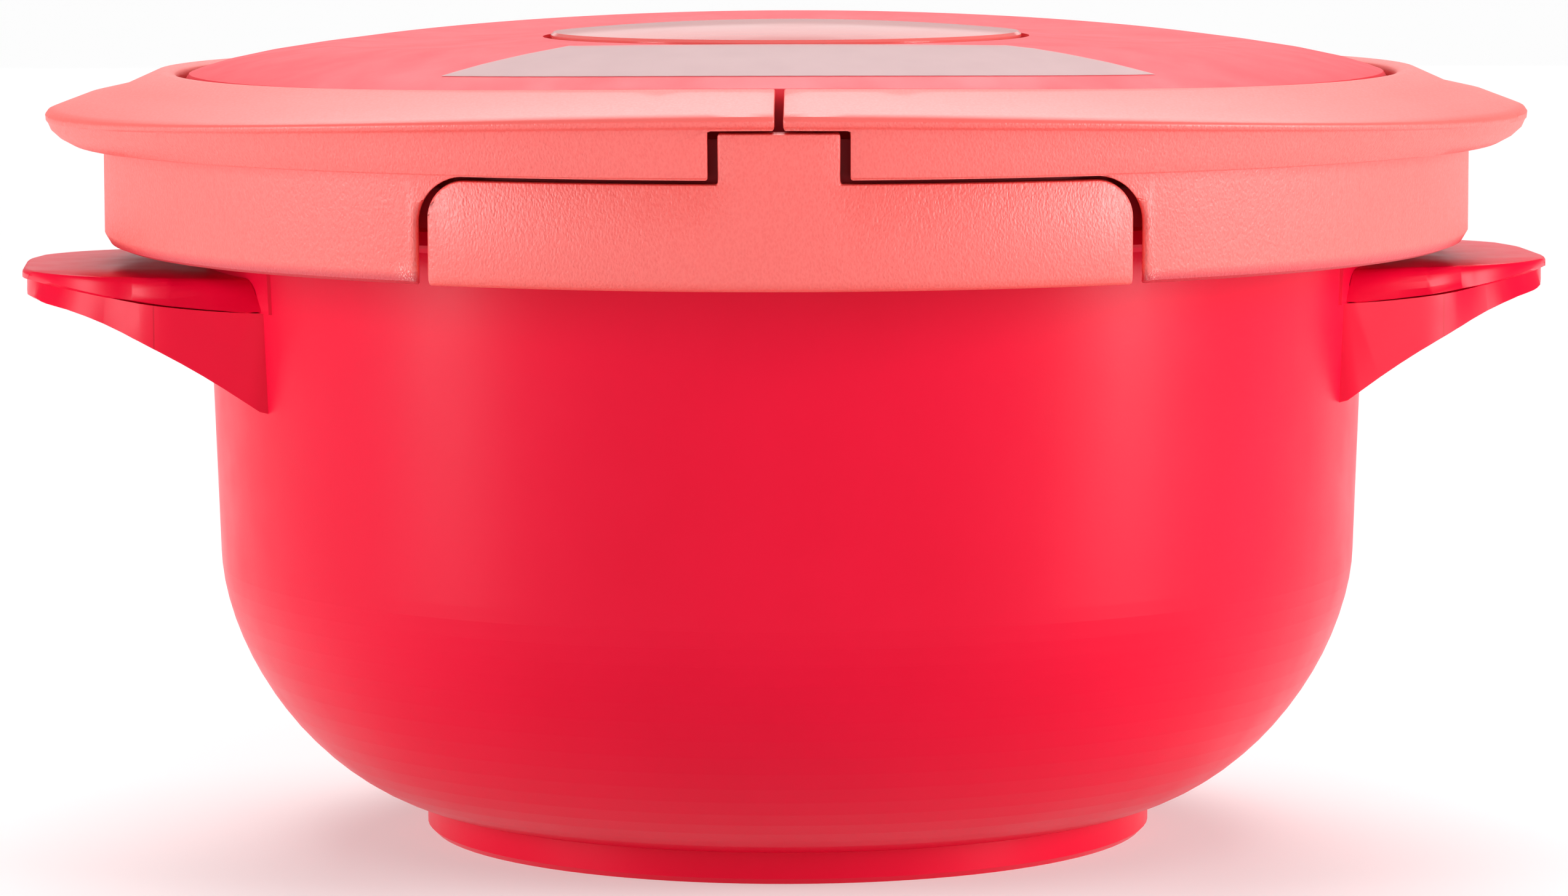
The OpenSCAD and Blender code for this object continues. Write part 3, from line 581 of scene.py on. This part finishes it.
def flush_web(piece):
    """Brings the web's sides out flush with the rim above them, and their ends into the wall."""
    shape = bmesh.new()
    shape.from_mesh(piece.data)
    moves = {}
    rooted = set()
    for face in shape.faces:
        middle = face.calc_center_median()
        outward = face.normal.x * middle.x + face.normal.y * middle.y
        slope = RIM_SLOPE if middle.z > RIM_UNDER else SIDE_SLOPE
        if outward < BACK_FACING * middle.length:
            rooted.update(face.verts)
        elif abs(face.normal.z) < slope:
            for corner in face.verts:
                if corner.co.z < RIM_MIDDLE:
                    moves.setdefault(corner, []).append(face.normal.copy())
    for corner, normals in moves.items():
        way = sum(normals, Vector())
        way.z = 0
        way.normalize()
        corner.co += way * rim_inset(corner.co.z)
        if corner in rooted:
            inward = Vector((-corner.co.x, -corner.co.y, 0)).normalized()
            along = inward - way * inward.dot(way)
            corner.co += along.normalized() * ROOT_DEPTH
    shape.to_mesh(piece.data)
    shape.free()


def corner_cut(slant, start):
    """How far the tip's corner lies outside the broader round, seen at a slant from its centre."""
    turn = math.atan2(start, TIP_R)
    if slant < turn:
        reach = TIP_R / math.cos(slant)
    elif slant > math.pi / 2 - turn:
        reach = TIP_R / math.sin(slant)
    else:
        lean = start * (math.cos(slant) + math.sin(slant))
        reach = lean + math.sqrt(lean * lean - 2 * start * start + HANDLE_CORNER_R * HANDLE_CORNER_R)
    return reach - TIP_R


def broad_corners(piece, side):
    """Files the tip's two corners to a broader round."""
    start = TIP_R - HANDLE_CORNER_R
    along = Vector((side * math.cos(POT_TURN), side * math.sin(POT_TURN), 0))
    across = Vector((-along.y, along.x, 0))
    centre_x = HANDLE_REACH - TIP_R
    centre_y = HANDLE_TIP_W - TIP_R
    bpy.ops.object.mode_set(mode="EDIT")
    for step in range(TIP_CUTS):
        past = TIP_CUT_STEP * (step + TIP_CUT_START)
        for way, far in ((across, -centre_y - past), (across, centre_y + past), (along, centre_x + past)):
            bpy.ops.mesh.select_all(action="SELECT")
            bpy.ops.mesh.bisect(plane_co=way * far, plane_no=way)
    bpy.ops.object.mode_set(mode="OBJECT")
    for corner in piece.data.vertices:
        ahead = corner.co.dot(along) - centre_x
        beside = corner.co.dot(across)
        past = abs(beside) - centre_y
        if ahead <= 0 or past <= 0:
            continue
        slant = math.atan2(past, ahead)
        cut = corner_cut(slant, start)
        share = (math.hypot(ahead, past) - TIP_CORE_R) / (TIP_R + cut - TIP_CORE_R)
        outward = along * math.cos(slant) + across * math.copysign(math.sin(slant), beside)
        corner.co -= outward * cut * max(0.0, min(1.0, share))


# ---- Film and spring ----

def label_film(shell):
    """A bare clear film laid on the lid's front slope, its front edge along the rim."""
    centre = (0, 0, FILM_START_Z)
    bpy.ops.object.select_all(action="DESELECT")
    bpy.ops.mesh.primitive_circle_add(vertices=FILM_POINTS, radius=FILM_R, fill_type="NOTHING",
                                      location=centre)
    film = bpy.context.object
    film.name = "label_film"
    bpy.ops.object.mode_set(mode="EDIT")
    bpy.ops.mesh.select_all(action="SELECT")
    for _ in range(FILM_RINGS):
        bpy.ops.mesh.extrude_edges_move()
        bpy.ops.transform.resize(value=(FILM_SHRINK, FILM_SHRINK, 1), center_override=centre)
    for point, outward in FILM_EDGES:
        bpy.ops.mesh.select_all(action="SELECT")
        bpy.ops.mesh.bisect(plane_co=point, plane_no=outward, clear_outer=True)
    bpy.ops.object.mode_set(mode="OBJECT")
    bpy.ops.object.transform_apply(location=True)
    lay = film.modifiers.new("lay_on_lid", "SHRINKWRAP")
    lay.target = shell
    lay.wrap_method = "PROJECT"
    lay.use_project_z = True
    lay.use_negative_direction = True
    lay.use_positive_direction = False
    bpy.ops.object.modifier_apply(modifier=lay.name)
    select_only(film)
    bpy.ops.object.mode_set(mode="EDIT")
    bpy.ops.mesh.select_all(action="SELECT")
    bpy.ops.mesh.normals_make_consistent(inside=False)
    bpy.ops.transform.translate(value=(0, 0, FILM_GAP))
    bpy.ops.object.mode_set(mode="OBJECT")
    if sum(face.normal.z for face in film.data.polygons) < 0:
        film.data.flip_normals()
    skin = film.modifiers.new("film_thickness", "SOLIDIFY")
    skin.thickness = FILM_THICKNESS
    skin.offset = 1.0
    bpy.ops.object.modifier_apply(modifier=skin.name)
    bpy.ops.object.shade_smooth_by_angle(angle=math.radians(40))
    film.data.materials.append(clear_film())
    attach(film, "pot")


def press_spring(wire):
    """The spring under the button, as a smooth copy that rides with the button."""
    spring = merged_copy("button_spring", "press_spring", wire)
    stand_for(spring, "button_spring", "button", smooth_angle=60)
    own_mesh(spring)


# ---- The pot ----

def dress(material, *nodes):
    """Gives solids that are shown as they are their finish."""
    for node in nodes:
        slots = NODES[node].data.materials
        slots.clear()
        slots.append(material)


studio_camera()
studio()

wire = steel()
dress(pot_red(), "pot_body")
dress(inner_red(), "lid_base", "clamp_slide_left", "clamp_slide_right", "valve_shield")
dress(white_plastic(), "sync_ring")
dress(silicone(), "sealing_gasket", "valve_seal", "safety_plug")
dress(wire, "valve_stem", "stem_clip", "lid_screws", "clamp_screws_left", "clamp_screws_right")
press_spring(wire)

plate_coral = coral_leather("coral_leather_grain")
# The ring's coral has painted shade on the skirt's low edge.
ring_coral_painted_shade = coral_leather("coral_leather_ring_painted_shade", painted_low_shade=True)
grip_red = handle_red()
for side, name in ((-1, "left"), (1, "right")):
    grip = merged_copy("handle_" + name, "handle_grip_" + name, grip_red)
    flush_web(grip)
    broad_corners(grip, side)
    stand_for(grip, "handle_" + name, "pot", smooth_angle=40)

button = merged_copy("release_button", "press_button", coral_gloss())
stand_for(button, "release_button", "button", smooth_angle=30)
lid_shell = merged_copy("lid_cover", "lid_shell", lid_red())
stand_for(lid_shell, "lid_cover", "pot", smooth_angle=35)

# The ring's top gets a finer skin and a lighter colour that is painted light.
top_coral_painted_light = coral_top_painted_light()
for name in ("left", "right"):
    clamp = merged_copy("clamp_cover_" + name, "clamp_shell_" + name, ring_coral_painted_shade)
    round_skirt(clamp)
    round_edges(clamp, "ANGLE", CLAMP_EDGE_ROUND, segments=2)
    stand_for(clamp, "clamp_cover_" + name, name + "_clamp", smooth_angle=38)
    smooth_painted_light_top(clamp, top_coral_painted_light)
for name in ("front", "rear"):
    plate = merged_copy(name + "_cover", name + "_plate", plate_coral)
    round_edges(plate, "ANGLE", PLATE_EDGE_ROUND, segments=2)
    stand_for(plate, name + "_cover", "pot", smooth_angle=38)
label_film(lid_shell)
